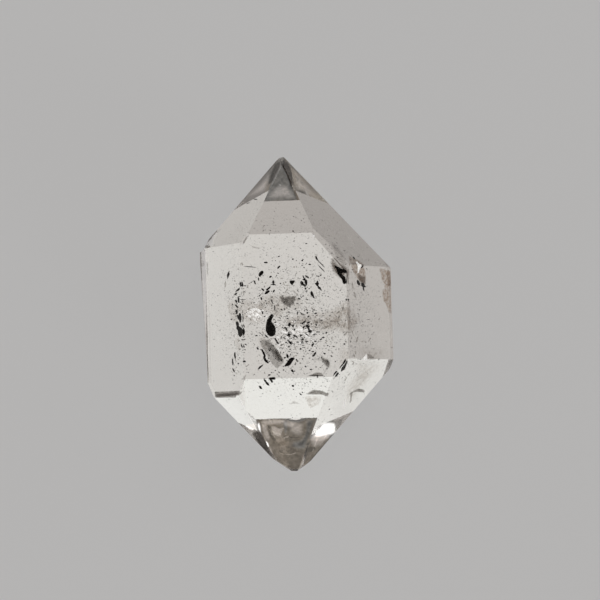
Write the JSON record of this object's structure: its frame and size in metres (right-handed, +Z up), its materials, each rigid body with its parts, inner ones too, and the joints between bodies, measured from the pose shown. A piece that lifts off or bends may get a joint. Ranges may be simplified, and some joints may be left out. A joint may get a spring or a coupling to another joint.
{
  "type": "herkimer diamond quartz crystal",
  "caption": "Clear doubly terminated quartz crystal with six prism faces, pointed ends and sealed black carbon flecks, lying on a prism face.",
  "frame": {"origin": "middle of the crystal's box, on the table plane that its lowest prism face rests on", "axes": "+Y along the crystal's long (c) axis towards the sharper tip, +X to the right seen from above, +Z up through the broad front prism face"},
  "size_m": [0.0134, 0.022, 0.0094],
  "materials": {
    "crystal": "glassy natural growth faces, very faintly smoky, with fine growth lines"
  },
  "bodies": {
    "root": {"crystal": "crystal"}
  },
  "joints": []
}
